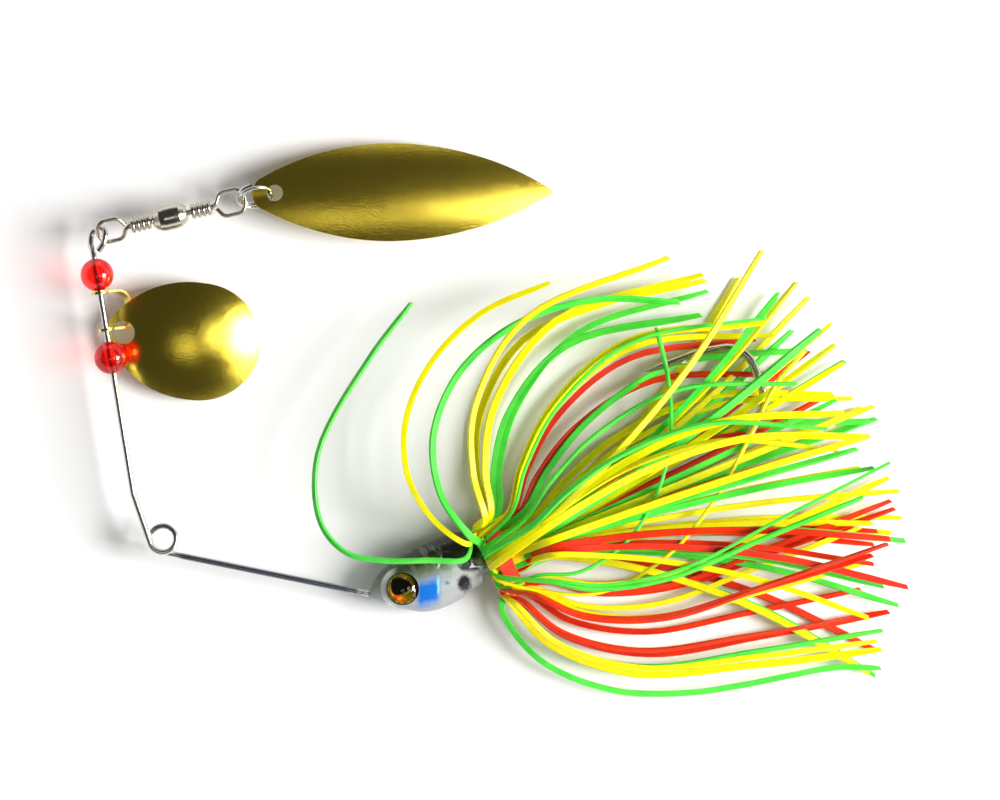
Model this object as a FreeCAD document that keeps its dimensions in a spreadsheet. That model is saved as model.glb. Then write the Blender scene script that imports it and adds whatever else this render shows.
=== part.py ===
import FreeCAD, Part
import math
import os

from FreeCAD import Placement, Rotation, Vector

# Spinnerbait lying on its side: a bent wire frame in a horizontal plane, with a moulded head, hook and
# silicone skirt on the lower arm, and two blades on the upper arm.
# Frame: X runs from the wire frame to the hook bend, Y from the head to the willow blade, Z up from
# the surface that the lure lies on.  The origin is below the middle of the lure.  Millimetres.

DIMENSIONS = {
    "wire_dia": 1.0,
    "upper_arm_level": 5.6,
    "coil_dia": 4.2,
    "coil_pitch": 1.1,
    "bead_dia": 5.3,
    "bead_bore": 1.16,
    "clevis_gauge": 0.4,
    "clevis_width": 1.5,
    "clevis_washer_dia": 2.7,
    "clevis_span": 6.0,
    "clevis_reach": 5.18,
    "blade_gauge": 0.5,
    "colorado_long": 24.8,
    "colorado_wide": 18.9,
    "colorado_cup_radius": 22.0,
    "colorado_hole_dia": 3.7,
    "willow_long": 48.7,
    "willow_wide": 15.8,
    "willow_roll_radius": 17.0,
    "willow_arch_radius": 110.0,
    "willow_hole_dia": 2.65,
    "swivel_wire": 0.7,
    "swivel_wrap_dia": 2.5,
    "barrel_long": 5.6,
    "barrel_dia": 4.3,
    "barrel_wall": 0.7,
    "swivel_head_dia": 2.4,
    "running_gap": 0.06,
    "ring_mean_dia": 5.4,
    "ring_wire": 0.55,
    "hook_dia": 1.35,
    "eye_dia": 5.2,
    "eye_foil": 0.3,
    "eye_lens": 0.9,
    "keeper_dia": 2.4,
    "strand_width": 1.15,
    "strand_gauge": 0.5,
    "bundle_dia": 6.9,
    "band_long": 2.4,
    "band_gauge": 0.8,
}

doc = FreeCAD.newDocument("Spinnerbait")
sheet = doc.addObject("Spreadsheet::Sheet", "Dimensions")
for row, (alias, value) in enumerate(DIMENSIONS.items(), start=1):
    sheet.set("A%d" % row, alias)
    sheet.set("B%d" % row, str(value))
    sheet.setAlias("B%d" % row, alias)
doc.recompute()

UP = Vector(0, 0, 1)
nodes = []


def size(alias):
    """A driving dimension read from the sheet."""
    return float(sheet.get(alias))


def primitive(kind, name, placement=None, **expressions):
    """A Part primitive whose sizes follow the sheet: keyword = expression in the sheet's aliases."""
    thing = doc.addObject("Part::" + kind, name)
    for prop, expression in expressions.items():
        thing.setExpression(prop, expression)
    if placement is not None:
        thing.Placement = placement
    return thing


def fused(name, pieces):
    thing = doc.addObject("Part::MultiFuse", name)
    thing.Shapes = pieces
    return thing


def minus(name, base, tool):
    thing = doc.addObject("Part::Cut", name)
    thing.Base = base
    thing.Tool = tool
    return thing


def node(name, thing):
    """Marks a finished object as one of the lure's pieces."""
    thing.Label = name
    nodes.append(thing)
    return thing


def upright(position, direction):
    """Placement at a position, with local Z along a direction."""
    return Placement(position, Rotation(UP, direction))


def polar(angle_deg, length):
    """A horizontal vector at an angle from X."""
    angle = math.radians(angle_deg)
    return Vector(length * math.cos(angle), length * math.sin(angle), 0)


def rounded_path(points, bend):
    """Straight runs through the points, joined by tangent arcs of the bend radius where they fit."""
    edges = []
    start = points[0]
    for before, corner, after in zip(points, points[1:], points[2:]):
        run_in = corner - before
        run_out = after - corner
        turn = run_in.getAngle(run_out)
        room = 0.49 * min(run_in.Length, run_out.Length)
        trim = min(bend * math.tan(turn / 2), room)
        run_in.normalize()
        run_out.normalize()
        radius = trim / math.tan(turn / 2)
        arc_start = corner - run_in * trim
        arc_end = corner + run_out * trim
        inward = run_out - run_in
        inward.normalize()
        centre = corner + inward * (radius / math.cos(turn / 2))
        arc_middle = centre - inward * radius
        edges.append(Part.makeLine(start, arc_start))
        edges.append(Part.Arc(arc_start, arc_middle, arc_end).toShape())
        start = arc_end
    edges.append(Part.makeLine(start, points[-1]))
    return Part.Wire(edges)


def path_object(name, points, bend):
    path = doc.addObject("Part::Feature", name + "_path")
    path.Shape = rounded_path(points, bend)
    return path


def sweep_along(name, path, section):
    sweep = doc.addObject("Part::Sweep", name)
    sweep.Sections = [section]
    sweep.Spine = (path, ["Edge%d" % (i + 1) for i in range(len(path.Shape.Edges))])
    sweep.Solid = True
    sweep.Frenet = False
    return sweep


def tube(name, points, bend, dia):
    """Round wire of a sheet diameter along a rounded path."""
    path = path_object(name, points, bend)
    section = primitive("Circle", name + "_section", upright(points[0], points[1] - points[0]),
                        Radius="Dimensions.%s / 2" % dia)
    return sweep_along(name, path, section)


def ribbon(name, points, bend, width, gauge, flat_normal):
    """Flat strip along a rounded path; flat_normal is the strip's face direction at its start."""
    path = path_object(name, points, bend)
    along = points[1] - points[0]
    across = along.cross(flat_normal)
    across.normalize()
    turn = Rotation(across, flat_normal, along, "ZXY")
    corner = points[0] - turn.multVec(Vector(size(width) / 2, size(gauge) / 2, 0))
    section = primitive("Plane", name + "_section", Placement(corner, turn),
                        Length="Dimensions." + width, Width="Dimensions." + gauge)
    return sweep_along(name, path, section)


# ---------------------------------------------------------------- wire frame

arm_top = Vector(-64.72, 26.56, size("upper_arm_level"))
arm_bottom = Vector(-58.40, -11.84, size("upper_arm_level"))
arm_dir = (arm_bottom - arm_top).normalize()
coil_centre = Vector(-53.71, -19.04, size("upper_arm_level"))
COIL_START = 198.9
COIL_TURN = 419.8
LOWER_ARM_ANGLE = -11.3
LOOP_ANGLE = 75.5
LOOP_ROLL = -44.3


def coil_points():
    """Corners of the closed coil, going down anticlockwise from the upper arm to the lower arm."""
    corners = 10
    step = COIL_TURN / corners
    reach = size("coil_dia") / 2 / math.cos(math.radians(step / 2))
    points = []
    for k in range(corners):
        angle = COIL_START + (k + 0.5) * step
        drop = size("coil_pitch") * (k + 0.5) * step / 360
        points.append(coil_centre + polar(angle, reach) - UP * drop)
    return points


lower_arm_level = size("upper_arm_level") - size("coil_pitch") * COIL_TURN / 360
nose = Vector(-20.56, -27.90, lower_arm_level)
wire_foot = nose + polar(LOWER_ARM_ANGLE + 2, 4.6)


def end_loop_points():
    """Diamond-shaped end loop, rolled out of the frame's plane about its own long axis."""
    along = polar(LOOP_ANGLE, 1)
    aside = Rotation(along, LOOP_ROLL).multVec(polar(LOOP_ANGLE - 90, 1))
    outline = [(0.75, 1.02), (2.3, 1.9), (4.3, 1.35), (4.5, -0.6), (3.4, -1.75), (1.5, -1.45)]
    return [arm_top + along * u + aside * v for u, v in outline]


def make_wire_frame():
    points = end_loop_points() + [arm_top, arm_bottom] + coil_points() + [nose, wire_foot]
    return node("wire_frame", tube("frame_wire", points, size("coil_dia") / 2, "wire_dia"))


# ---------------------------------------------------------------- hook

SHANK_ANGLE = 23.9
shank_dir = polar(SHANK_ANGLE, 1)
shank_start = Vector(-9.2, -26.25, lower_arm_level)
HOOK_BEND = [(38.96, -4.9), (43.1, 3.2), (39.5, 12.1), (32.2, 10.9)]
hook_point = Vector(24.1, 7.9, lower_arm_level)


def make_hook():
    level = lower_arm_level
    eye_loop = [shank_start + polar(SHANK_ANGLE + a, r) for a, r in
                ((172, 0.9), (150, 2.6), (180, 4.3), (206, 3.2))]
    bend = [Vector(x, y, level) for x, y in HOOK_BEND]
    tip_run = hook_point - bend[-1]
    tip_dir = Vector(tip_run).normalize()
    taper_start = hook_point - tip_dir * 2.6
    limb = tube("hook_wire", list(reversed(eye_loop)) + [shank_start] + bend + [taper_start], 7.0,
                "hook_dia")
    point = primitive("Cone", "hook_taper", upright(taper_start, tip_dir),
                      Radius1="Dimensions.hook_dia / 2", Radius2="0.06 mm", Height="3.4 mm")
    barb_root = hook_point - tip_dir * 4.6 - polar(SHANK_ANGLE + 90, 0.25)
    barb_dir = tip_dir * -1 - polar(SHANK_ANGLE + 90, 0.55)
    barb = primitive("Cone", "hook_barb", upright(barb_root, barb_dir), Radius1="0.45 mm",
                     Radius2="0.05 mm", Height="2.0 mm")
    return node("hook", fused("hook_solid", [limb, point, barb]))


# ---------------------------------------------------------------- head and its eyes

# Sections across the head: distance behind the nose, middle above the nose line, half depth, half breadth
HEAD_SECTIONS = [
    (0.0, 0.0, 0.75, 0.75),
    (1.0, 0.8, 1.9, 1.55),
    (2.4, 1.3, 3.0, 2.5),
    (4.6, 1.9, 4.15, 3.4),
    (7.6, 2.5, 5.3, 4.0),
    (10.6, 3.3, 5.85, 4.15),
    (13.4, 4.3, 5.7, 3.95),
    (16.0, 5.0, 4.7, 3.3),
    (18.0, 4.9, 3.1, 2.5),
]
EYE_CENTRE = (5.3, 1.0)
EYE_SEAT = 2.85


def make_head():
    sections = []
    for k, (back, rise, depth, breadth) in enumerate(HEAD_SECTIONS):
        section = doc.addObject("Part::Ellipse", "head_section_%d" % k)
        section.MajorRadius = depth
        section.MinorRadius = breadth
        section.Placement = Placement(nose + Vector(back, rise, 0),
                                      Rotation(Vector(0, 1, 0), Vector(0, 0, 1), Vector(1, 0, 0), "ZXY"))
        sections.append(section)
    body = doc.addObject("Part::Loft", "head_body")
    body.Sections = sections
    body.Solid = True
    keeper = primitive("Cylinder", "head_keeper", upright(keeper_start, shank_dir),
                       Radius="Dimensions.keeper_dia / 2", Height="7.5 mm")
    rib = primitive("Cone", "head_keeper_rib", upright(keeper_start + shank_dir * 6.6, shank_dir),
                    Radius1="Dimensions.keeper_dia / 2 + 0.15", Radius2="Dimensions.keeper_dia / 2 - 0.3",
                    Height="0.9 mm")
    casting = fused("head_casting", [body, keeper, rib])
    tools = [find("wire_frame"), find("hook")]
    for side in (1, -1):
        seat = primitive("Cylinder", "eye_seat_%s" % ("left" if side > 0 else "right"),
                         upright(eye_position(side), UP * side),
                         Radius="Dimensions.eye_dia / 2", Height="4 mm")
        tools.append(seat)
    cavity = fused("head_cavity", tools)
    return node("lead_head", minus("head_solid", casting, cavity))


def find(name):
    return next(thing for thing in nodes if thing.Label == name)


def eye_position(side):
    return nose + Vector(EYE_CENTRE[0], EYE_CENTRE[1], side * EYE_SEAT)


def make_eyes():
    for side, word in ((1, "left"), (-1, "right")):
        seat = eye_position(side)
        foil = primitive("Cylinder", word + "_foil", upright(seat, UP * side),
                         Radius="Dimensions.eye_dia / 2", Height="Dimensions.eye_foil")
        node("eye_%s_foil" % word, foil)
        lens_seat = seat + UP * side * size("eye_foil")
        disc = primitive("Cylinder", word + "_lens_disc", upright(lens_seat, UP * side),
                         Radius="Dimensions.eye_dia / 2", Height="Dimensions.eye_lens")
        half = size("eye_dia") / 2
        ball_radius = (half ** 2 + size("eye_lens") ** 2) / (2 * size("eye_lens"))
        ball = primitive("Sphere", word + "_lens_ball",
                         Placement(lens_seat + UP * side * (size("eye_lens") - ball_radius), Rotation()))
        ball.setExpression("Radius", "(Dimensions.eye_dia * Dimensions.eye_dia / 4 + Dimensions.eye_lens *"
                           " Dimensions.eye_lens) / (2 * Dimensions.eye_lens)")
        lens = doc.addObject("Part::Common", word + "_lens")
        lens.Base = disc
        lens.Tool = ball
        node("eye_%s_lens" % word, lens)


# ---------------------------------------------------------------- beads and clevis on the upper arm

UPPER_BEAD_AT = 3.40
LOWER_BEAD_AT = 16.82
CLEVIS_AT = UPPER_BEAD_AT + 5.3 / 2 + 0.08
CLEVIS_ROLL = 40.9


def on_arm(distance):
    return arm_top + arm_dir * distance


def make_bead(name, distance):
    ball = primitive("Sphere", name + "_ball", Placement(on_arm(distance), Rotation()),
                     Radius="Dimensions.bead_dia / 2")
    bore = primitive("Cylinder", name + "_bore", upright(on_arm(distance - 4), arm_dir),
                     Radius="Dimensions.bead_bore / 2", Height="8 mm")
    return node(name, minus(name + "_solid", ball, bore))


def make_clevis():
    """Folded strip: two washers on the wire, joined by a U that passes through the blade's hole."""
    outward = Rotation(arm_dir, -CLEVIS_ROLL).multVec(UP.cross(arm_dir))
    gauge = size("clevis_gauge")
    top = on_arm(CLEVIS_AT + gauge / 2)
    bottom = top + arm_dir * size("clevis_span")
    reach = outward * size("clevis_reach")
    first = outward * 0.8
    strap = ribbon("clevis_strap", [top + first, top + reach, bottom + reach, bottom + first], 2.4,
                   "clevis_width", "clevis_gauge", arm_dir)
    pieces = [strap]
    for word, seat in (("upper", top), ("lower", bottom)):
        washer = primitive("Cylinder", "clevis_%s_washer" % word,
                           upright(seat - arm_dir * gauge / 2, arm_dir),
                           Radius="Dimensions.clevis_washer_dia / 2", Height="Dimensions.clevis_gauge")
        pieces.append(washer)
    bore = primitive("Cylinder", "clevis_bore", upright(on_arm(CLEVIS_AT - 2), arm_dir),
                     Radius="Dimensions.bead_bore / 2", Height="12 mm")
    return node("clevis", minus("clevis_solid", fused("clevis_strip", pieces), bore))


# ---------------------------------------------------------------- blades

def outline_face(upper_arcs):
    """Face in the local XY plane, from arcs above the X axis and the same arcs mirrored below it."""
    edges = []
    for side in (1, -1):
        for arc in upper_arcs:
            edges.append(Part.Arc(*[Vector(x, side * y, 0) for x, y in arc]).toShape())
    return Part.Face(Part.Wire(Part.sortEdges(edges)[0]))


def blade(name, face, shell_outer, shell_inner, hole_x, hole_alias):
    outline = doc.addObject("Part::Feature", name + "_outline")
    outline.Shape = face
    prism = doc.addObject("Part::Extrusion", name + "_prism")
    prism.Base = outline
    prism.Dir = UP
    prism.LengthFwd = 14
    prism.LengthRev = 4
    prism.Solid = True
    shell = minus(name + "_shell", shell_outer, shell_inner)
    cupped = doc.addObject("Part::Common", name + "_cupped")
    cupped.Base = prism
    cupped.Tool = shell
    hole = primitive("Cylinder", name + "_hole", Placement(Vector(hole_x, 0, -4), Rotation()),
                     Radius="Dimensions.%s / 2" % hole_alias, Height="20 mm")
    return minus(name + "_solid", cupped, hole)


COLORADO_POSE = Placement(Vector(-62.89, 14.43, 3.12), Rotation(-6.9, 3.2, 5.0))
WILLOW_POSE = Placement(Vector(-39.34, 36.25, 6.25), Rotation(0.7, 5.2, -5.0))


def make_colorado():
    """Round cupped blade; local X runs from its hole end to its round end, hollow side down."""
    half = size("colorado_wide") / 2
    long = size("colorado_long")
    belly = 0.60 * long
    face = outline_face([[(0, 0), (0.35, 1.65), (1.3, 3.1)],
                         [(1.3, 3.1), (6.8, half * 0.82), (belly, half)],
                         [(belly, half), (belly + 0.707 * (long - belly), half * 0.707), (long, 0)]])
    centre = Placement(Vector(long * 0.52, 0, -18.6), Rotation())
    outer = primitive("Sphere", "colorado_outer", centre, Radius="Dimensions.colorado_cup_radius")
    inner = primitive("Sphere", "colorado_inner", centre,
                      Radius="Dimensions.colorado_cup_radius - Dimensions.blade_gauge")
    solid = blade("colorado", face, outer, inner, 2.75, "colorado_hole_dia")
    solid.Placement = COLORADO_POSE
    return node("colorado_blade", solid)


def make_willow():
    """Long leaf-shaped blade, arched along its length and rolled across it, hollow side down."""
    half = size("willow_wide") / 2
    long = size("willow_long")
    belly = 0.47 * long
    face = outline_face([[(0, 0), (0.3, 1.2), (1.0, 2.2)],
                         [(1.0, 2.2), (0.22 * long, half * 0.80), (belly, half)],
                         [(belly, half), (0.76 * long, half * 0.70), (long, 0)]])
    middle = Vector(0.48 * long, 0, 1.8 - size("willow_arch_radius"))
    axle = upright(middle, Vector(0, 1, 0))
    arch = "Dimensions.willow_arch_radius - Dimensions.willow_roll_radius"
    outer = primitive("Torus", "willow_outer", axle, Radius1=arch, Radius2="Dimensions.willow_roll_radius")
    inner = primitive("Torus", "willow_inner", axle, Radius1=arch,
                      Radius2="Dimensions.willow_roll_radius - Dimensions.blade_gauge")
    solid = blade("willow", face, outer, inner, 3.6, "willow_hole_dia")
    solid.Placement = WILLOW_POSE
    return node("willow_blade", solid)


# ---------------------------------------------------------------- swivel and split ring

SWIVEL_ANGLE = 13.1
swivel_dir = polar(SWIVEL_ANGLE, 1)
barrel_centre = Vector(-52.5, 32.48, size("upper_arm_level") + 0.3)
FRONT_EYE_ROLL = -36.9
REAR_EYE_ROLL = 2.4


def swivel_eye(name, facing, wraps_from, eye_long, eye_wide, roll):
    """Eye of bent wire, three wraps, and a shank that ends in a head inside the barrel."""
    along = swivel_dir * facing
    aside = Rotation(along, roll).multVec(UP.cross(along))
    outline = [(0.0, 0.0), (0.9, 0.25), (0.32 * eye_long, eye_wide / 2), (0.85 * eye_long, eye_wide / 2),
               (eye_long, 0.22 * eye_wide), (eye_long, -0.22 * eye_wide), (0.85 * eye_long, -eye_wide / 2),
               (0.32 * eye_long, -eye_wide / 2), (0.9, -0.45)]
    wrap_gauge = size("swivel_wire")
    wraps_long = 3.2
    root = barrel_centre + along * (wraps_from + wraps_long)
    points = [root + along * u + aside * v for u, v in outline]
    loop = tube(name + "_loop", points, 1.3, "swivel_wire")
    pieces = [loop]
    for k in range(4):
        seat = barrel_centre + along * (wraps_from + 0.5 * wrap_gauge + k * 0.83)
        pieces.append(primitive("Torus", "%s_wrap_%d" % (name, k), upright(seat, along),
                                Radius1="(Dimensions.swivel_wrap_dia - Dimensions.swivel_wire) / 2",
                                Radius2="Dimensions.swivel_wire / 2"))
    core_start = barrel_centre + along * (size("barrel_long") / 2 - size("barrel_wall") - 0.12)
    core = primitive("Cylinder", name + "_shank", upright(core_start, along),
                     Radius="Dimensions.swivel_wire * 0.75")
    core.Height = (root - core_start).Length + 0.4
    head = primitive("Cylinder", name + "_head", upright(core_start - along * 0.8, along),
                     Radius="Dimensions.swivel_head_dia / 2", Height="0.86 mm")
    hub = primitive("Cylinder", name + "_hub", upright(root - along * wraps_long, along),
                    Radius="(Dimensions.swivel_wrap_dia - Dimensions.swivel_wire) / 2", Height="3.2 mm")
    return node(name, fused(name + "_solid", pieces + [core, head, hub]))


def make_barrel():
    """Turned barrel, open at both ends for the eyes' shanks and hollow for their heads."""
    body = doc.addObject("PartDesign::Body", "swivel_barrel_body")
    sketch = body.newObject("Sketcher::SketchObject", "barrel_profile")
    plane = next(f for f in body.Origin.OriginFeatures if f.Role == "XY_Plane")
    sketch.AttachmentSupport = [(plane, "")]
    sketch.MapMode = "FlatFace"
    half = size("barrel_long") / 2
    outer = size("barrel_dia") / 2
    bore = size("swivel_wire") * 0.75 + size("running_gap")
    cave = half - size("barrel_wall")
    room = size("swivel_head_dia") / 2 + size("running_gap")
    profile = [(-half, bore), (-half, 0.52 * outer), (-0.86 * half, 0.72 * outer),
               (-0.58 * half, 0.94 * outer), (-0.3 * half, outer), (0.3 * half, outer),
               (0.58 * half, 0.94 * outer), (0.86 * half, 0.72 * outer), (half, 0.52 * outer),
               (half, bore), (cave, bore), (cave, room), (-cave, room), (-cave, bore)]
    corners = [Vector(x, y, 0) for x, y in profile]
    for k, corner in enumerate(corners):
        sketch.addGeometry(Part.LineSegment(corner, corners[(k + 1) % len(corners)]), False)
    revolution = body.newObject("PartDesign::Revolution", "barrel_turning")
    revolution.Profile = sketch
    revolution.ReferenceAxis = (sketch, ["H_Axis"])
    revolution.Angle = 360
    body.Placement = Placement(barrel_centre, Rotation(UP, SWIVEL_ANGLE))
    return node("swivel_barrel", body)


RING_CENTRE = Vector(-38.91, 35.69, size("upper_arm_level") + 0.45)
RING_TILT = 63.6
RING_YAW = 13.0


def make_split_ring():
    """Two turns of wire, closed on themselves."""
    corners = 12
    turns = 1.9
    step = 360 / corners
    reach = size("ring_mean_dia") / 2 / math.cos(math.radians(step / 2))
    pitch = size("ring_wire") + 0.05
    lean = Rotation(UP, RING_YAW).multiply(Rotation(Vector(1, 0, 0), RING_TILT))
    points = []
    for k in range(int(corners * turns) + 1):
        level = pitch * (k / corners - turns / 2)
        points.append(RING_CENTRE + lean.multVec(polar(90 + k * step, reach) + UP * level))
    return node("split_ring", tube("ring_wire", points, size("ring_mean_dia") / 2, "ring_wire"))


# ---------------------------------------------------------------- skirt

keeper_start = shank_start + shank_dir * 5.6
band_centre = keeper_start + shank_dir * 5.3
side_dir = polar(SHANK_ANGLE + 90, 1)
STRAND_LAYERS = ((11, 2.00), (14, 2.56), (17, 3.12))
UPPER_COLOURS = ("yellow", "green", "yellow", "red", "green", "yellow")
LOWER_COLOURS = ("red", "yellow", "red", "green", "red", "yellow")

# Front halves that stray from the fan: colour, tip angle, tip reach, swing, early, late
STRAYS = {
    25: ("green", 109.8, 43.0, 72, 7.5, 3.0),
    26: ("yellow", 80.2, 44.3, 82, 1.6, 1.0),
    27: ("green", 55.9, 49.4, 95, 1.4, 1.0),
    30: ("yellow", 34.5, 58.5, -98, 1.0, 1.8),
    31: ("green", 56.5, 44.0, -102, 0.9, 1.1),
    34: ("green", -16.5, 63.0, -98, 1.0, 1.8),
}
EVEN_SHARES = (0.13, 0.26, 0.45, 0.7, 1.0)
STRAY_SHARES = (0.14, 0.28, 0.44, 0.58, 0.69, 0.79, 0.89, 1.0)


def blend(start, end, share):
    return start + (end - start) * share


def half_strand(tip_angle, tip_reach, swing, early, late, level, tip_level, shares=EVEN_SHARES):
    """Points of a half strand: it swings sideways near the band and comes straight at its tip."""
    points = []
    for share in shares:
        angle = tip_angle + swing * (1 - share ** early) ** late
        height = blend(level, tip_level, max(share - 0.3, 0) / 0.7)
        flat = band_centre + polar(angle, tip_reach * share)
        points.append(Vector(flat.x, flat.y, height))
    return points


def strand_points(number, ring_angle, radius):
    """Colour of a strand, and its points from its back tip, under the band, to its folded front tip."""
    around = math.radians(ring_angle)
    radial = side_dir * math.cos(around) + UP * math.sin(around)
    seat = band_centre + radial * radius
    rank = 1 - min(ring_angle, 360 - ring_angle) / 180
    over = math.sin(around) > 0.01
    layer = number % 6
    level = 6.8 + 1.1 * layer if over else 0.75 + 0.32 * layer
    tip_level = 6.0 + 1.0 * layer if over else 0.68 + 0.3 * layer
    colour = (UPPER_COLOURS if rank > 0.45 else LOWER_COLOURS)[layer]
    scatter = math.sin(2.4 * number)
    uneven = math.sin(1.7 * number + 1.0)
    back_angle = blend(-14, 49, rank) + 6 * scatter
    back = half_strand(back_angle, 61.5 + 3.0 * uneven, 0.45 * (SHANK_ANGLE - back_angle), 1.0, 1.0,
                       level, tip_level)
    front_level = level + (3.0 if over else 0.75)
    front_tip_level = tip_level + (1.3 if over else 0.75)
    if number in STRAYS:
        colour, front_angle, reach, swing, early, late = STRAYS[number]
        front = half_strand(front_angle, reach, swing, early, late, front_level, front_tip_level,
                            STRAY_SHARES)
    elif rank > 0.42:
        fold = (rank - 0.42) / 0.58
        front = half_strand(blend(12, 63, fold) + 5 * scatter, blend(61, 51, fold) + 3 * uneven,
                            blend(14, 60, fold), 1.6, 1.0, front_level, front_tip_level)
    else:
        fold = rank / 0.42
        front = half_strand(blend(-13, 14, fold) + 4 * uneven, 60.5 - 3 * scatter,
                            blend(-84, -44, fold), 1.0, 1.8, front_level, front_tip_level)
    under_back = seat + shank_dir * (size("band_long") / 2 + 0.9)
    under_front = seat - shank_dir * (size("band_long") / 2 + 0.5)
    aside = side_dir if rank > 0.5 else side_dir * -1
    fold_over = seat + (radial if over else aside) * 2.7 - shank_dir * (size("band_long") / 2 + 1.2)
    fold_over.z = max(fold_over.z, 0.8)
    return colour, list(reversed(back)) + [under_back, under_front, fold_over] + front


def make_skirt():
    number = 0
    for count, radius in STRAND_LAYERS:
        for k in range(count):
            ring_angle = (k + 0.5) * 360 / count
            colour, points = strand_points(number, ring_angle, radius)
            name = "skirt_strand_%02d_%s" % (number + 1, colour)
            strand = ribbon("strand_%02d" % (number + 1), points, 20.0, "strand_width",
                            "strand_gauge", UP)
            node(name, strand)
            number += 1
    outer = primitive("Cylinder", "band_outer",
                      upright(band_centre - shank_dir * size("band_long") / 2, shank_dir),
                      Radius="Dimensions.bundle_dia / 2 + Dimensions.band_gauge", Height="Dimensions.band_long")
    inner = primitive("Cylinder", "band_inner", upright(band_centre - shank_dir * 4, shank_dir),
                      Radius="Dimensions.bundle_dia / 2", Height="8 mm")
    node("skirt_band", minus("band_solid", outer, inner))


# ---------------------------------------------------------------- assembly

make_wire_frame()
make_hook()
make_head()
make_eyes()
make_bead("bead_upper", UPPER_BEAD_AT)
make_bead("bead_lower", LOWER_BEAD_AT)
make_clevis()
make_colorado()
make_willow()
swivel_eye("swivel_eye_front", -1, 3.19, 5.39, 4.03, FRONT_EYE_ROLL)
make_barrel()
swivel_eye("swivel_eye_rear", 1, 3.5, 5.59, 3.9, REAR_EYE_ROLL)
make_split_ring()
make_skirt()
doc.recompute()

for thing in doc.Objects:
    if "Invalid" in thing.State or "Error" in thing.State:
        raise RuntimeError("%s: %s" % (thing.Name, thing.State))
for thing in nodes:
    if thing.Shape.isNull() or not thing.Shape.isValid():
        raise RuntimeError("%s has no valid shape" % thing.Label)

os.makedirs("parts", exist_ok=True)
for thing in nodes:
    thing.Shape.exportStep("parts/%s.step" % thing.Label)
print("%d pieces" % len(nodes))
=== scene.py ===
import math
import random

import bmesh
import bpy
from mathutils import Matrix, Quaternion, Vector


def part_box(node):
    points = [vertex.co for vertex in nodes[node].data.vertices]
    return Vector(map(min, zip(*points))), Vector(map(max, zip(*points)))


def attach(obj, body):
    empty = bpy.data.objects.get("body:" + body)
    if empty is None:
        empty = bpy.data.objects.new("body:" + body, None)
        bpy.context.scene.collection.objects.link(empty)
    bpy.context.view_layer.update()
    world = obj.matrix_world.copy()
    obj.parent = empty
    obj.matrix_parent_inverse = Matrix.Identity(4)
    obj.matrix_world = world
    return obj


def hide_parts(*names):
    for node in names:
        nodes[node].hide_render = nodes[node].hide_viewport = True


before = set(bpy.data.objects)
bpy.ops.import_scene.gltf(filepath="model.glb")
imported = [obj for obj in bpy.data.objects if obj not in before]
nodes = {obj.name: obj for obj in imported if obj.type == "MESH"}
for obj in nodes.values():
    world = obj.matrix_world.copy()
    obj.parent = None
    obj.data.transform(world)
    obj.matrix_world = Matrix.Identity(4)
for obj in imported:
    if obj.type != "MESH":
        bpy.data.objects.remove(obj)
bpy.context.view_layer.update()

MM = 0.001
UP = Vector((0, 0, 1))


# ---------------------------------------------------------------- material helpers

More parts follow.
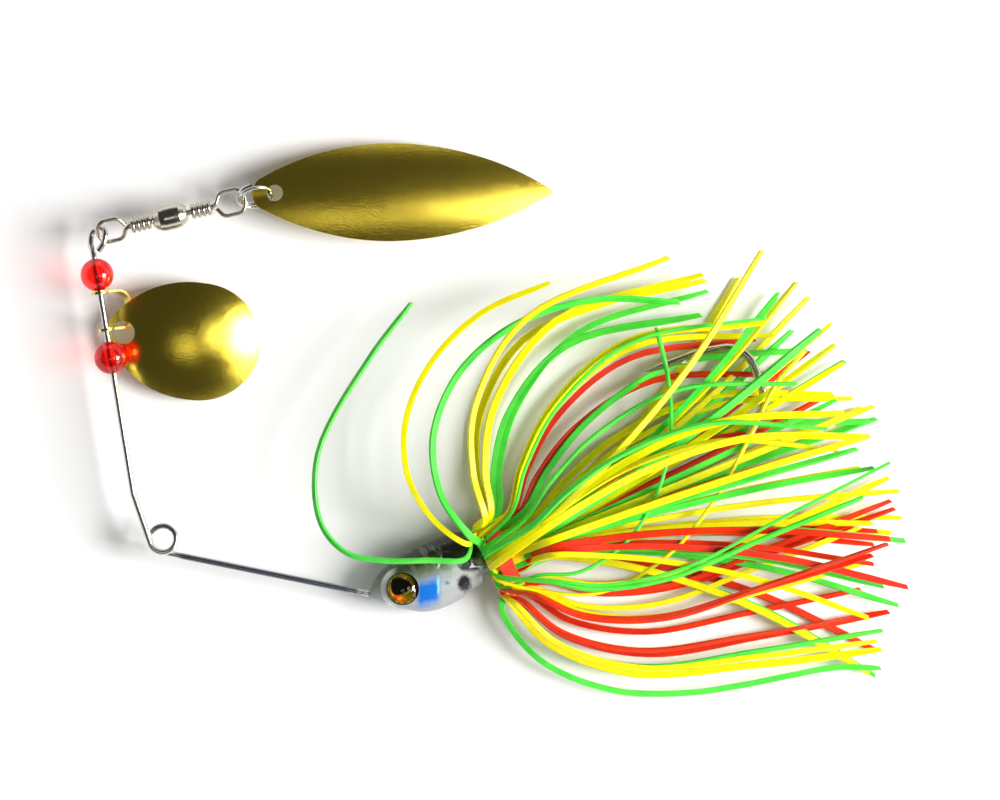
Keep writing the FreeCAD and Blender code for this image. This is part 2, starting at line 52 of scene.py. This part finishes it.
class Shader:
    """A node material built step by step; `mm` is the place on the object at rest, in millimetres."""

    def __init__(self, name):
        self.material = bpy.data.materials.new(name)
        self.material.use_nodes = True
        self.tree = self.material.node_tree
        self.bsdf = self.tree.nodes["Principled BSDF"]
        self.output = self.tree.nodes["Material Output"]
        place = self.add("ShaderNodeTexCoord").outputs["Object"]
        self.mm = self.vector("SCALE", place, scale=1 / MM)

    def add(self, kind, **props):
        made = self.tree.nodes.new(kind)
        for prop, value in props.items():
            setattr(made, prop, value)
        return made

    def feed(self, socket, value):
        if isinstance(value, bpy.types.NodeSocket):
            self.tree.links.new(value, socket)
        elif socket.type == "RGBA":
            socket.default_value = (*value, 1)
        else:
            socket.default_value = value

    def vector(self, operation, a, b=None, scale=None):
        made = self.add("ShaderNodeVectorMath", operation=operation)
        self.feed(made.inputs[0], a)
        if b is not None:
            self.feed(made.inputs[1], b)
        if scale is not None:
            self.feed(made.inputs["Scale"], scale)
        return made.outputs["Value" if operation in ("LENGTH", "DISTANCE", "DOT_PRODUCT") else "Vector"]

    def math(self, operation, a, b=0.0, clamp=False):
        made = self.add("ShaderNodeMath", operation=operation, use_clamp=clamp)
        self.feed(made.inputs[0], a)
        self.feed(made.inputs[1], b)
        return made.outputs[0]

    def axes(self):
        """X and Y of the place."""
        made = self.add("ShaderNodeSeparateXYZ")
        self.feed(made.inputs[0], self.mm)
        return made.outputs[:2]

    def noise(self, scale, detail=3.0, vector=None, distortion=0.0):
        made = self.add("ShaderNodeTexNoise")
        self.feed(made.inputs["Vector"], self.mm if vector is None else vector)
        made.inputs["Scale"].default_value = scale
        made.inputs["Detail"].default_value = detail
        made.inputs["Distortion"].default_value = distortion
        return made.outputs["Fac"]

    def cells(self, scale, output="Distance", feature="F1", vector=None):
        made = self.add("ShaderNodeTexVoronoi", feature=feature)
        self.feed(made.inputs["Vector"], self.mm if vector is None else vector)
        made.inputs["Scale"].default_value = scale
        return made.outputs[output]

    def slanted(self, angle, along=0.16):
        """Coordinates turned about Z and drawn out along the turned X."""
        turn = self.add("ShaderNodeVectorRotate", rotation_type="Z_AXIS")
        self.feed(turn.inputs["Vector"], self.mm)
        turn.inputs["Angle"].default_value = math.radians(angle)
        return self.vector("MULTIPLY", turn.outputs[0], (along, 1.0, 0.5))

    def plan_distance(self, place, stretch=(1.0, 1.0)):
        """Distance from a place seen along Z, with X and Y stretched."""
        offset = self.vector("SUBTRACT", self.mm, (place[0], place[1], 0.0))
        return self.vector("LENGTH", self.vector("MULTIPLY", offset, (*stretch, 0.0)))

    def ramp(self, factor, *stops):
        made = self.add("ShaderNodeValToRGB")
        self.feed(made.inputs[0], factor)
        elements = made.color_ramp.elements
        while len(elements) < len(stops):
            elements.new(0.5)
        for element, (place, colour) in zip(elements, stops):
            element.position = place
            if isinstance(colour, (int, float)):
                colour = (colour, colour, colour)
            element.color = (*colour, 1)
        return made.outputs["Color"]

    def band(self, value, low, high, soft):
        """1 where value lies between low and high, with soft edges."""
        rise = self.math("DIVIDE", self.math("SUBTRACT", value, low), soft, clamp=True)
        fall = self.math("DIVIDE", self.math("SUBTRACT", high, value), soft, clamp=True)
        return self.math("MULTIPLY", rise, fall)

    def mix(self, factor, a, b):
        made = self.add("ShaderNodeMix", data_type="RGBA")
        self.feed(made.inputs["Factor"], factor)
        self.feed(made.inputs[6], a)
        self.feed(made.inputs[7], b)
        return made.outputs[2]

    def bump(self, height, strength, distance_mm, under=None):
        made = self.add("ShaderNodeBump")
        self.feed(made.inputs["Height"], height)
        made.inputs["Strength"].default_value = strength
        made.inputs["Distance"].default_value = distance_mm * MM
        if under is not None:
            self.feed(made.inputs["Normal"], under)
        return made.outputs["Normal"]

    def set(self, **values):
        for key, value in values.items():
            self.feed(self.bsdf.inputs[key.replace("_", " ")], value)
        return self.material


def drawn_metal(name, colour, dull, rough=0.2, grain=2.4, scratch=0.02):
    """Bright wire or turned metal: fine scratches, slightly uneven tone."""
    s = Shader(name)
    tone = s.noise(0.35, 2)
    fine = s.noise(grain, 5, distortion=0.4)
    s.set(Base_Color=s.mix(tone, colour, dull), Metallic=1.0,
          Roughness=s.math("ADD", s.math("MULTIPLY", fine, 0.16), rough - 0.08),
          Normal=s.bump(fine, 0.35, scratch))
    return s.material


def frame_wire_metal():
    """Stainless wire; the lower arm gets painted shade (a darker colour), with a mist of head paint on its
    last millimetres.
    """
    s = Shader("frame_wire_steel")
    x, y = s.axes()
    arm_start, mist_start, arm_end = -51.5, -24.5, 10.0
    # Painted shade: the whole lower arm is darker than the upper arm, though both are one wire.
    lower_arm_painted_shade = s.math("MULTIPLY", s.band(x, arm_start, arm_end, 1.0), s.band(y, -40.0, -20.0, 1.0))
    drops = s.ramp(s.noise(1.6, 4), (0.35, 0.0), (0.6, 1.0))
    mist = s.math("MULTIPLY", s.band(x, mist_start, arm_end, 3.0), drops)
    fine = s.noise(3.0, 5)
    colour = s.mix(lower_arm_painted_shade, (0.66, 0.65, 0.62), (0.26, 0.28, 0.32))
    colour = s.mix(mist, colour, (0.62, 0.62, 0.60))
    s.set(Base_Color=colour, Metallic=s.math("SUBTRACT", 1.0, s.math("MULTIPLY", mist, 0.5)),
          Roughness=s.math("ADD", s.math("MULTIPLY", fine, 0.15), 0.14), Normal=s.bump(fine, 0.3, 0.02))
    return s.material


def gold_blade(name, hammer_scale, hammer, rough):
    """Plated blade: satin hammered grain with scattered darker specks."""
    s = Shader(name)
    dimple = s.cells(hammer_scale, feature="SMOOTH_F1")
    fine = s.noise(7.0, 4)
    tone = s.noise(0.22, 3)
    # Scattered darker specks, placed by noise.
    dark_specks = s.ramp(s.noise(1.9, 5), (0.62, 0.0), (0.78, 1.0))
    colour = s.mix(tone, (0.92, 0.72, 0.09), (0.80, 0.60, 0.06))
    colour = s.mix(s.math("MULTIPLY", dark_specks, 0.25), colour, (0.45, 0.32, 0.05))
    under = s.bump(dimple, hammer, 0.10)
    s.set(Base_Color=colour, Metallic=1.0,
          Roughness=s.math("ADD", s.math("MULTIPLY", fine, 0.14), rough),
          Normal=s.bump(s.noise(6.0, 5), 0.40, 0.05, under=under))
    return s.material


def bead_plastic():
    """Clear red bead; lets red light through to the surface under it."""
    s = Shader("bead_red")
    swirl = s.noise(0.5, 3)
    fine = s.noise(5.0, 3)
    s.set(Base_Color=s.mix(swirl, (0.95, 0.02, 0.015), (0.80, 0.01, 0.01)), Transmission_Weight=0.92,
          Roughness=s.math("ADD", s.math("MULTIPLY", fine, 0.06), 0.02), IOR=1.49,
          Normal=s.bump(fine, 0.08, 0.02))
    lit_through(s, (0.94, 0.87, 0.86))
    return s.material


def lit_through(s, tint):
    """Shadow rays pass tinted, as light does through clear plastic."""
    path = s.add("ShaderNodeLightPath")
    clear = s.add("ShaderNodeBsdfTransparent")
    clear.inputs["Color"].default_value = (*tint, 1)
    either = s.add("ShaderNodeMixShader")
    s.feed(either.inputs[0], path.outputs["Is Shadow Ray"])
    s.feed(either.inputs[1], s.bsdf.outputs[0])
    s.feed(either.inputs[2], clear.outputs[0])
    s.feed(s.output.inputs["Surface"], either.outputs[0])


# Nose, middle of the eyes and rise of the head's axis, in millimetres in plan
NOSE = Vector((-20.56, -27.90))
EYE = Vector((-15.26, -26.90))
HEAD_SLOPE = 0.30


def ground_coat(s, x, y, height):
    """Silver belly to black back, with slanted pale streaks and one painted highlight stripe under the back.
    """
    share = s.math("ADD", s.math("DIVIDE", height, 12.0), 0.5, clamp=True)
    colour = s.ramp(share, (0.0, (0.30, 0.32, 0.33)), (0.30, (0.42, 0.44, 0.45)), (0.47, (0.30, 0.34, 0.31)),
                    (0.58, (0.13, 0.17, 0.10)), (0.70, (0.05, 0.065, 0.03)), (0.80, (0.006, 0.008, 0.005)))
    streak = s.band(s.noise(0.7, 2, vector=s.slanted(46)), 0.52, 0.66, 0.10)
    streaks = s.math("MULTIPLY", streak, s.band(y, -24.4, -19.5, 0.9))
    colour = s.mix(s.math("MULTIPLY", streaks, 0.4), colour, (0.42, 0.48, 0.34))
    # Painted highlight: a thin pale stripe under the back.
    lean = s.math("SUBTRACT", x, s.math("MULTIPLY", y, 0.3))
    painted_highlight_stripe = s.math("MULTIPLY", s.band(lean, -2.8, -2.3, 0.2), s.band(y, -23.8, -20.9, 0.6))
    return s.mix(s.math("MULTIPLY", painted_highlight_stripe, 0.9), colour, (0.80, 0.84, 0.78))


def azure_cheek(s, colour, x, y, height, spray):
    """Blue patch behind the eye, with a painted highlight, a pale glint, on its back edge and a blue speck
    behind it.
    """
    edge = s.math("ADD", x, s.math("MULTIPLY", spray, 0.35))
    cheek = s.math("MULTIPLY", s.band(edge, -13.4, -8.9, 1.0), s.band(height, -5.4, 0.4, 1.8))
    colour = s.mix(cheek, colour, (0.008, 0.17, 0.62))
    # Painted highlight: a pale line along the cheek's back edge.
    painted_glint = s.math("MULTIPLY", s.band(edge, -9.9, -9.2, 0.3), s.band(y, -28.2, -24.4, 1.2))
    colour = s.mix(s.math("MULTIPLY", painted_glint, 0.8), colour, (0.35, 0.75, 0.85))
    speck = s.math("ADD", s.plan_distance((-8.1, -25.9)), spray)
    return s.mix(s.band(speck, -1.0, 0.55, 0.7), colour, (0.02, 0.20, 0.42))


def dark_marks(s, colour, x, y, spray):
    """Black gill bar, nape and round spot."""
    slope = s.math("ADD", s.math("ADD", y, s.math("MULTIPLY", x, 1.08)), spray)
    gill = s.math("MULTIPLY", s.band(slope, -30.6, -26.6, 0.6), s.band(y, -24.4, -17.0, 0.7))
    nape = s.math("MULTIPLY", s.band(x, -9.6, -3.0, 0.7), s.band(y, -22.4, -16.0, 0.7))
    spot = s.math("ADD", s.plan_distance((-5.4, -26.0), (0.75, 0.60)), s.math("MULTIPLY", spray, 0.4))
    dark = s.math("MAXIMUM", s.math("MAXIMUM", gill, nape), s.band(spot, -1.0, 1.05, 0.45))
    return s.mix(dark, colour, (0.006, 0.006, 0.006))


def head_paint():
    """Airbrushed baitfish: dark back, olive streaked flank, silver belly, azure cheek, clear gloss over it,
    with painted highlights by the cheek and eye rim and painted sparkle on flecks.
    """
    s = Shader("head_airbrush")
    x, y = s.axes()
    along = s.math("SUBTRACT", x, NOSE.x)
    middle = s.math("ADD", s.math("MULTIPLY", along, HEAD_SLOPE), NOSE.y + 0.2)
    spray = s.math("MULTIPLY", s.math("SUBTRACT", s.noise(1.1, 4), 0.5), 1.4)
    height = s.math("ADD", s.math("SUBTRACT", y, middle), spray)
    colour = ground_coat(s, x, y, height)
    colour = azure_cheek(s, colour, x, y, height, spray)
    colour = dark_marks(s, colour, x, y, spray)
    flecks = s.ramp(s.cells(2.2), (0.0, 1.0), (0.16, 0.0))
    # Flecks in the paint: real flecks, drawn near white on part of the flank as painted sparkle highlights.
    fleck_painted_sparkle = s.math("MULTIPLY", flecks, s.band(x, -9.6, -2.0, 0.8))
    colour = s.mix(s.math("MULTIPLY", fleck_painted_sparkle, 0.8), colour, (0.92, 0.96, 0.88))
    # Painted highlight: a pale crescent on the eye's rim, on the side toward the nose.
    eye_rim_painted_highlight = s.math("MULTIPLY", s.band(s.plan_distance(EYE), 2.5, 3.7, 0.3), s.band(x, -20.0, -16.2, 1.2))
    colour = s.mix(s.math("MULTIPLY", eye_rim_painted_highlight, 0.8), colour, (0.80, 0.82, 0.80))
    ripple = s.noise(0.55, 2)
    s.set(Base_Color=colour, Metallic=0.10, Roughness=0.38, Specular_IOR_Level=0.2,
          Coat_Weight=0.6, Coat_Roughness=0.03,
          Normal=s.bump(flecks, 0.06, 0.03, under=s.bump(ripple, 0.22, 0.25)))
    return s.material


def eye_foil():
    """Holographic foil: gold, orange and red shards round a tear-shaped pupil, with a dark rim."""
    s = Shader("eye_hologram")
    x, y = s.axes()
    flat = s.vector("MULTIPLY", s.mm, (1.0, 1.0, 0.0))
    hue = s.add("ShaderNodeSeparateColor")
    s.feed(hue.inputs[0], s.cells(1.5, "Color", vector=flat))
    olive = s.ramp(hue.outputs[0], (0.0, (0.14, 0.11, 0.004)), (0.5, (0.34, 0.25, 0.01)),
                   (1.0, (0.60, 0.45, 0.05)))
    flame = s.ramp(hue.outputs[1], (0.0, (0.85, 0.05, 0.005)), (0.4, (0.90, 0.26, 0.01)),
                   (0.8, (0.95, 0.62, 0.06)))
    radius = s.plan_distance(EYE)
    side = s.math("ADD", s.math("MULTIPLY", x, 0.8), s.math("MULTIPLY", y, 0.6))
    near = s.math("SUBTRACT", side, 0.8 * EYE.x + 0.6 * EYE.y)
    hot = s.math("MULTIPLY", s.band(near, -9.0, -0.35, 0.7), s.band(radius, 0.5, 2.05, 0.3))
    colour = s.mix(hot, olive, flame)
    right = s.math("SUBTRACT", x, EYE.x - 0.25)
    taper = s.math("ADD", s.math("MULTIPLY", right, 0.16), 0.62)
    lift = s.math("MULTIPLY", s.math("SUBTRACT", y, EYE.y + 0.45), s.math("MULTIPLY", taper, 1.35))
    reach = s.math("MULTIPLY", right, 0.66)
    pupil = s.math("SQRT", s.math("ADD", s.math("MULTIPLY", lift, lift), s.math("MULTIPLY", reach, reach)))
    colour = s.mix(s.band(pupil, -1.0, 1.12, 0.12), colour, (0.003, 0.003, 0.003))
    colour = s.mix(s.band(radius, 2.3, 9.0, 0.15), colour, (0.03, 0.022, 0.008))
    s.set(Base_Color=colour, Metallic=0.55, Roughness=0.24,
          Normal=s.bump(hue.outputs[2], 0.4, 0.04))
    return s.material


def eye_lens():
    """Clear domed resin over the foil."""
    s = Shader("eye_resin")
    fine = s.noise(2.0, 2)
    s.set(Base_Color=(0.98, 0.97, 0.92), Transmission_Weight=1.0, IOR=1.45,
          Roughness=s.math("MULTIPLY", fine, 0.05), Normal=s.bump(fine, 0.04, 0.02))
    lit_through(s, (0.97, 0.95, 0.90))
    return s.material


def silicone(name, colour, shade):
    """Translucent skirt silicone: mottled tone, dark specks, soft sheen."""
    s = Shader(name)
    tone = s.noise(0.16, 3)
    speck = s.ramp(s.noise(3.2, 3), (0.60, 0.0), (0.74, 1.0))
    body = s.mix(s.ramp(tone, (0.38, 0.0), (0.68, 1.0)), colour, shade)
    body = s.mix(s.math("MULTIPLY", speck, 0.35), body, tuple(0.45 * c for c in shade))
    fine = s.noise(4.0, 3)
    s.set(Base_Color=body, Roughness=s.math("ADD", s.math("MULTIPLY", fine, 0.2), 0.28),
          Subsurface_Weight=0.35, Subsurface_Radius=(1.0, 0.8, 0.4), Subsurface_Scale=0.6 * MM,
          Specular_IOR_Level=0.35, Normal=s.bump(fine, 0.3, 0.04))
    return s.material


def band_rubber():
    """Matt red rubber of the band that holds the skirt."""
    s = Shader("band_rubber")
    fine = s.noise(6.0, 4)
    s.set(Base_Color=s.mix(fine, (0.90, 0.05, 0.01), (0.62, 0.02, 0.005)), Roughness=0.62,
          Normal=s.bump(fine, 0.5, 0.05))
    return s.material


# ---------------------------------------------------------------- carried-over nodes

def smooth(thing, angle=38):
    for polygon in thing.data.polygons:
        polygon.use_smooth = True
    thing.data.set_sharp_from_angle(angle=math.radians(angle))


def paint(material, *names):
    for name in names:
        thing = nodes[name]
        thing.data.materials.clear()
        thing.data.materials.append(material)


def dress_nodes():
    paint(frame_wire_metal(), "wire_frame")
    paint(drawn_metal("hook_nickel", (0.62, 0.57, 0.48), (0.42, 0.37, 0.30), 0.20), "hook")
    paint(head_paint(), "lead_head")
    paint(eye_foil(), "eye_left_foil", "eye_right_foil")
    paint(eye_lens(), "eye_left_lens", "eye_right_lens")
    paint(bead_plastic(), "bead_upper", "bead_lower")
    paint(drawn_metal("clevis_gold", (0.92, 0.70, 0.22), (0.76, 0.55, 0.14), 0.2), "clevis")
    paint(gold_blade("colorado_gold", 4.0, 0.17, 0.12), "colorado_blade")
    paint(gold_blade("willow_gold", 4.6, 0.26, 0.16), "willow_blade")
    paint(drawn_metal("swivel_nickel", (0.62, 0.58, 0.50), (0.46, 0.42, 0.35), 0.2),
          "swivel_eye_front", "swivel_eye_rear", "swivel_barrel")
    paint(drawn_metal("ring_nickel", (0.72, 0.72, 0.70), (0.55, 0.54, 0.52), 0.18), "split_ring")
    paint(band_rubber(), "skirt_band")


# ---------------------------------------------------------------- skirt

SHANK_ANGLE = 23.9
STRAND_LAYERS = ((11, 2.00), (14, 2.56), (17, 3.12))
UPPER_COLOURS = ("yellow", "green", "yellow", "red", "green", "yellow")
LOWER_COLOURS = ("red", "yellow", "red", "green", "red", "yellow")
BAND_HALF = 1.2

# Rank 0 is the lowest strand round the band and 1 the highest; folded halves over this rank fan upwards
FAN_RANK = 0.42
STRAND_GAUGE = 0.5
LOWEST_LINE = 0.45
SPLINE_STEPS = 7

# Front halves that stray from the fan: colour, tip angle, tip reach, swing, early, late
STRAYS = {
    25: ("green", 109.8, 43.0, 72, 7.5, 3.0),
    26: ("yellow", 80.2, 44.3, 82, 1.6, 1.0),
    27: ("green", 55.9, 49.4, 95, 1.4, 1.0),
    30: ("yellow", 34.5, 58.5, -98, 1.0, 1.8),
    31: ("green", 56.5, 44.0, -102, 0.9, 1.1),
    34: ("green", -16.5, 63.0, -98, 1.0, 1.8),
}
EVEN_SHARES = (0.13, 0.26, 0.45, 0.7, 1.0)
STRAY_SHARES = (0.14, 0.28, 0.44, 0.58, 0.69, 0.79, 0.89, 1.0)


def polar(angle_deg, length):
    angle = math.radians(angle_deg)
    return Vector((length * math.cos(angle), length * math.sin(angle), 0))


def mid(box):
    return (Vector(box[0]) + Vector(box[1])) / 2


band_centre = mid(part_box("skirt_band")) / MM
shank_dir = polar(SHANK_ANGLE, 1)
side_dir = polar(SHANK_ANGLE + 90, 1)


def blend(start, end, share):
    return start + (end - start) * share


def half_strand(tip_angle, tip_reach, swing, early, late, level, tip_level, shares=EVEN_SHARES):
    """Points of a half strand: it swings sideways near the band and comes straight at its tip."""
    points = []
    for share in shares:
        angle = tip_angle + swing * (1 - share ** early) ** late
        height = blend(level, tip_level, max(share - 0.3, 0) / 0.7)
        flat = band_centre + polar(angle, tip_reach * share)
        points.append(Vector((flat.x, flat.y, height)))
    return points


def strand_route(number, ring_angle, radius):
    """A strand from its back tip, under the band, to its folded front tip, as in the CAD model."""
    around = math.radians(ring_angle)
    radial = side_dir * math.cos(around) + UP * math.sin(around)
    seat = band_centre + radial * radius
    rank = 1 - min(ring_angle, 360 - ring_angle) / 180
    over = math.sin(around) > 0.01
    layer = number % len(UPPER_COLOURS)
    level = 6.8 + 1.1 * layer if over else 0.75 + 0.32 * layer
    tip_level = 6.0 + 1.0 * layer if over else 0.68 + 0.3 * layer
    colour = (UPPER_COLOURS if rank > 0.45 else LOWER_COLOURS)[layer]
    scatter = math.sin(2.4 * number)
    uneven = math.sin(1.7 * number + 1.0)
    back_angle = blend(-14, 49, rank) + 6 * scatter
    back = half_strand(back_angle, 61.5 + 3.0 * uneven, 0.45 * (SHANK_ANGLE - back_angle), 1.0, 1.0,
                       level, tip_level)
    front_level = level + (3.0 if over else 0.75)
    front_tip_level = tip_level + (1.3 if over else 0.75)
    if number in STRAYS:
        colour, front_angle, reach, swing, early, late = STRAYS[number]
        front = half_strand(front_angle, reach, swing, early, late, front_level, front_tip_level,
                            STRAY_SHARES)
    elif rank > FAN_RANK:
        fold = (rank - FAN_RANK) / (1 - FAN_RANK)
        front = half_strand(blend(12, 63, fold) + 5 * scatter, blend(61, 51, fold) + 3 * uneven,
                            blend(14, 60, fold), 1.6, 1.0, front_level, front_tip_level)
    else:
        fold = rank / FAN_RANK
        front = half_strand(blend(-13, 14, fold) + 4 * uneven, 60.5 - 3 * scatter,
                            blend(-84, -44, fold), 1.0, 1.8, front_level, front_tip_level)
    under_back = seat + shank_dir * (BAND_HALF + 0.9)
    under_front = seat - shank_dir * (BAND_HALF + 0.5)
    aside = side_dir if rank > 0.5 else side_dir * -1
    fold_over = seat + (radial if over else aside) * 2.7 - shank_dir * (BAND_HALF + 1.2)
    fold_over.z = max(fold_over.z, 0.8)
    return colour, list(reversed(back)) + [under_back, under_front, fold_over] + front


def flowing(points, steps):
    """Centripetal spline through the points."""
    ghost = [points[0] * 2 - points[1]] + points + [points[-1] * 2 - points[-2]]
    line = []
    for k in range(1, len(ghost) - 2):
        p0, p1, p2, p3 = ghost[k - 1:k + 3]
        t0 = 0.0
        t1 = t0 + (p1 - p0).length ** 0.5
        t2 = t1 + (p2 - p1).length ** 0.5
        t3 = t2 + (p3 - p2).length ** 0.5
        for step in range(steps):
            t = t1 + (t2 - t1) * step / steps
            a1 = p0 * ((t1 - t) / (t1 - t0)) + p1 * ((t - t0) / (t1 - t0))
            a2 = p1 * ((t2 - t) / (t2 - t1)) + p2 * ((t - t1) / (t2 - t1))
            a3 = p2 * ((t3 - t) / (t3 - t2)) + p3 * ((t - t2) / (t3 - t2))
            b1 = a1 * ((t2 - t) / (t2 - t0)) + a2 * ((t - t0) / (t2 - t0))
            b2 = a2 * ((t3 - t) / (t3 - t1)) + a3 * ((t - t1) / (t3 - t1))
            line.append(b1 * ((t2 - t) / (t2 - t1)) + b2 * ((t - t1) / (t2 - t1)))
    line.append(points[-1].copy())
    return line


def ribbon(name, line, normal, width, gauge, twist, material):
    """Flat moulded strip with rounded edges and slanted, narrowing ends along a line in millimetres."""
    section = [(-0.5, -0.2), (-0.42, -0.5), (0.42, -0.5), (0.5, -0.2), (0.5, 0.2), (0.42, 0.5),
               (-0.42, 0.5), (-0.5, 0.2)]
    mesh = bmesh.new()
    rings = []
    face = normal.copy()
    length = len(line) - 1
    for k, point in enumerate(line):
        ahead = (line[min(k + 1, length)] - line[max(k - 1, 0)]).normalized()
        face = (face - ahead * face.dot(ahead)).normalized()
        away = 2 * k / length - 1
        turned = Quaternion(ahead, twist * away * abs(away)) @ face
        across = ahead.cross(turned)
        to_end = min(k, length - k)
        if to_end == 0:
            across += ahead * 0.6
        wide = width * min(1.0, 0.65 + 0.2 * to_end)
        ring = [mesh.verts.new((point + across * (u * wide) + turned * (v * gauge)) * MM)
                for u, v in section]
        rings.append(ring)
    for one, two in zip(rings, rings[1:]):
        for k in range(len(section)):
            after = (k + 1) % len(section)
            mesh.faces.new((one[k], one[after], two[after], two[k]))
    mesh.faces.new(list(reversed(rings[0])))
    mesh.faces.new(rings[-1])
    bmesh.ops.recalc_face_normals(mesh, faces=mesh.faces)
    data = bpy.data.meshes.new(name)
    mesh.to_mesh(data)
    mesh.free()
    made = bpy.data.objects.new(name, data)
    bpy.context.collection.objects.link(made)
    data.materials.append(material)
    smooth(made, 50)
    return made


def make_skirt():
    paints = {"green": silicone("silicone_green", (0.09, 0.74, 0.06), (0.045, 0.56, 0.04)),
              "yellow": silicone("silicone_yellow", (0.90, 0.83, 0.0), (0.80, 0.70, 0.0)),
              "red": silicone("silicone_red", (0.75, 0.03, 0.003), (0.60, 0.015, 0.002))}
    draw = random.Random(7)
    number = 0
    for count, radius in STRAND_LAYERS:
        for k in range(count):
            colour, points = strand_route(number, (k + 0.5) * 360 / count, radius)
            line = flowing(points, SPLINE_STEPS)
            sway = draw.uniform(0.3, 0.9)
            phase = draw.uniform(0, 6.28)
            sideways = UP.cross(polar(57 * phase, 1))
            for place, point in enumerate(line):
                away = abs(2 * place / (len(line) - 1) - 1)
                point += sideways * (sway * away * away * math.sin(phase + 5 * away))
                point.z = max(point.z, LOWEST_LINE)
            cad_name = "skirt_strand_%02d_%s" % (number + 1, colour)
            piece = ribbon("strand_%02d_%s" % (number + 1, colour), line, UP,
                           draw.uniform(0.9, 1.25), STRAND_GAUGE, draw.uniform(-1.0, 1.0), paints[colour])
            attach(piece, "lure_frame")
            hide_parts(cad_name)
            number += 1


# ---------------------------------------------------------------- studio

def floor_material():
    s = Shader("floor_white")
    grain = s.noise(0.02, 2)
    s.set(Base_Color=s.mix(grain, (0.92, 0.92, 0.92), (0.90, 0.90, 0.90)), Roughness=0.75)
    return s.material


def make_studio():
    """White floor, a room that is bright near the horizon and dim overhead, and the lamps."""
    bpy.ops.mesh.primitive_plane_add(size=6, location=(0, 0, 0))
    floor = bpy.context.object
    floor.name = "floor"
    floor.data.materials.append(floor_material())
    world = bpy.data.worlds.new("studio")
    bpy.context.scene.world = world
    world.use_nodes = True
    tree = world.node_tree
    place = tree.nodes.new("ShaderNodeTexCoord")
    height = tree.nodes.new("ShaderNodeSeparateXYZ")
    walls = tree.nodes.new("ShaderNodeValToRGB")
    tree.links.new(place.outputs["Generated"], height.inputs[0])
    tree.links.new(height.outputs["Z"], walls.inputs[0])
    tree.links.new(walls.outputs["Color"], tree.nodes["Background"].inputs["Color"])
    bright, dim = walls.color_ramp.elements
    bright.position = 0.16
    bright.color = (1.50, 1.53, 1.56, 1)
    dim.position = 0.44
    dim.color = (0.055, 0.055, 0.055, 1)
    softbox("key", (0.56, -0.03, 0.42), (0.33, 0.34), 9.3)
    softbox("side", (0.47, -0.25, 0.26), (0.26, 0.26), 0.8)
    softbox("round_blade_light", (0.205, -0.034, 0.50), (0.15, 0.11), 0.22)
    softbox("long_blade_light", (-0.034, -0.115, 0.50), (0.14, 0.12), 0.075)


def softbox(name, place, size, power):
    """Rectangular lamp that faces the origin; metres and watts."""
    data = bpy.data.lights.new(name, "AREA")
    data.shape = "RECTANGLE"
    data.size, data.size_y = size
    data.energy = power
    data.color = (1.0, 0.99, 0.97)
    lamp = bpy.data.objects.new(name, data)
    bpy.context.collection.objects.link(lamp)
    lamp.location = place
    lamp.rotation_euler = (-Vector(place)).to_track_quat("-Z", "Y").to_euler()


def make_camera():
    data = bpy.data.cameras.new("camera")
    data.lens = 135
    data.sensor_width = 36
    camera = bpy.data.objects.new("camera", data)
    bpy.context.collection.objects.link(camera)
    camera.location = (0.24 * MM, 3.2 * MM, 0.605)
    camera.rotation_euler = (0, 0, 0)
    bpy.context.scene.camera = camera


make_camera()
for name, thing in nodes.items():
    if not name.startswith("skirt_strand"):
        smooth(thing)
dress_nodes()
make_skirt()
make_studio()
bpy.context.scene.view_settings.view_transform = "Standard"
